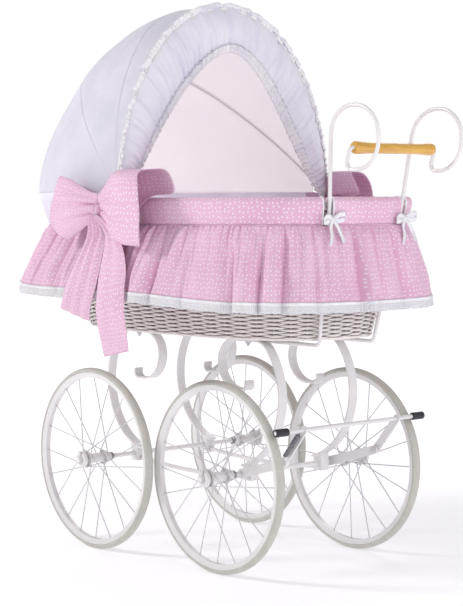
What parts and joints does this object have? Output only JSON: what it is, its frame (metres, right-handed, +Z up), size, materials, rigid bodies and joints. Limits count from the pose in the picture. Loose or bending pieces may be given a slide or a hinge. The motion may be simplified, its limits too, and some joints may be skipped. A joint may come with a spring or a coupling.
{
  "type": "baby cradle",
  "caption": "Lined wicker cradle with a gathered skirt and a fan-folding voile hood, on C springs over spoked wheels, with a wire handle, a wooden grip and a crossbar brake.",
  "frame": {"origin": "middle of the whole cradle's box, on the floor under the wheels", "axes": "+Z up, +X from the hood end to the handle end, +Y to the right of a person who pushes at the handle"},
  "size_m": [1.127, 0.676, 1.1968],
  "materials": {
    "tyre_rubber": "matt pale rubber",
    "white_steel": "gloss white enamel",
    "dark_steel": "dark oiled",
    "black_rubber": "matt",
    "white_wicker": "painted willow",
    "varnished_wood": "gloss varnish",
    "board": "plain board",
    "pink_fabric": "printed cotton voile",
    "dotted_fabric": "printed cotton with satin edge",
    "voile": "sheer voile",
    "white_fabric": "quilted cotton"
  },
  "bodies": {
    "chassis": {"axle_clips": "white_steel", "axle_handle_end": "white_steel", "axle_hood_end": "white_steel", "axle_nuts": "white_steel", "axle_saddles": "white_steel", "base_board": "board", "basket_studs": "white_steel", "bow_left": "dotted_fabric", "bow_right": "dotted_fabric", "brake_brackets": "white_steel", "brake_pivot_bolts": "white_steel", "cross_supports": "white_steel", "handle_wire_left": "white_steel", "handle_wire_right": "white_steel", "hem_lace": "white_fabric", "hood_brackets": "white_steel", "hood_hem": "voile", "hood_pivot_pins": "white_steel", "lower_rails": "white_steel", "mattress": "white_fabric", "padded_liner": "pink_fabric", "ribbon_ties": "white_fabric", "rim_band": "pink_fabric", "skirt": "pink_fabric", "spring_handle_left": "white_steel", "spring_handle_right": "white_steel", "spring_hood_left": "white_steel", "spring_hood_right": "white_steel", "wicker_basket": "white_wicker", "wicker_border": "white_wicker"},
    "wheel_handle_left": {"tyre_handle_left": "tyre_rubber", "rim_handle_left": "white_steel", "hub_handle_left": "white_steel", "spokes_handle_left": "white_steel"},
    "wheel_handle_right": {"tyre_handle_right": "tyre_rubber", "rim_handle_right": "white_steel", "hub_handle_right": "white_steel", "spokes_handle_right": "white_steel"},
    "wheel_hood_left": {"tyre_hood_left": "tyre_rubber", "rim_hood_left": "white_steel", "hub_hood_left": "white_steel", "spokes_hood_left": "white_steel"},
    "wheel_hood_right": {"tyre_hood_right": "tyre_rubber", "rim_hood_right": "white_steel", "hub_hood_right": "white_steel", "spokes_hood_right": "white_steel"},
    "brake": {"brake_lever_left": "white_steel", "brake_lever_right": "white_steel", "brake_crossbar": "white_steel", "brake_pads": "black_rubber", "brake_spring": "dark_steel"},
    "grip": {"wooden_grip": "varnished_wood"},
    "hood_rear": {"hood_hoop_rear": "white_steel", "hood_canopy_rear": "voile"},
    "hood_middle": {"hood_hoop_middle": "white_steel", "hood_canopy_middle": "voile"},
    "hood_front": {"hood_hoop_front": "white_steel", "hood_canopy_front": "voile", "hood_ruffle": "voile"}
  },
  "joints": [
    {"name": "wheel_handle_left_spin", "type": "hinge", "parent": "chassis", "child": "wheel_handle_left", "pos_m": [0.1775, -0.1955, 0.2], "axis": [0, 1, 0], "continuous": true},
    {"name": "wheel_handle_right_spin", "type": "hinge", "parent": "chassis", "child": "wheel_handle_right", "pos_m": [0.1775, 0.1955, 0.2], "axis": [0, 1, 0], "continuous": true},
    {"name": "wheel_hood_left_spin", "type": "hinge", "parent": "chassis", "child": "wheel_hood_left", "pos_m": [-0.2025, -0.224, 0.2], "axis": [0, 1, 0], "continuous": true},
    {"name": "wheel_hood_right_spin", "type": "hinge", "parent": "chassis", "child": "wheel_hood_right", "pos_m": [-0.2025, 0.224, 0.2], "axis": [0, 1, 0], "continuous": true},
    {"name": "brake_lever_hinge", "type": "hinge", "parent": "chassis", "child": "brake", "pos_m": [0.3115, 0, 0.239], "axis": [0, -1, 0], "range_deg": [0, 18.5]},
    {"name": "grip_roll", "type": "hinge", "parent": "chassis", "child": "grip", "pos_m": [0.4875, 0, 0.867], "axis": [0, 1, 0], "continuous": true},
    {"name": "hood_rear_fold", "type": "hinge", "parent": "chassis", "child": "hood_rear", "pos_m": [-0.0075, 0, 0.785], "axis": [0, -1, 0], "range_deg": [0, 34], "deforming": ["hood_canopy_rear"]},
    {"name": "hood_middle_fold", "type": "hinge", "parent": "hood_rear", "child": "hood_middle", "pos_m": [-0.0075, 0, 0.785], "axis": [0, -1, 0], "range_deg": [0, 29], "deforming": ["hood_canopy_middle"]},
    {"name": "hood_front_fold", "type": "hinge", "parent": "hood_middle", "child": "hood_front", "pos_m": [-0.0075, 0, 0.785], "axis": [0, -1, 0], "range_deg": [0, 8], "deforming": ["hood_canopy_front"]}
  ],
  "couplings": [
    {"joint": "hood_middle_fold", "follows": "hood_rear_fold", "ratio": 0.85294},
    {"joint": "hood_front_fold", "follows": "hood_rear_fold", "ratio": 0.23529}
  ]
}
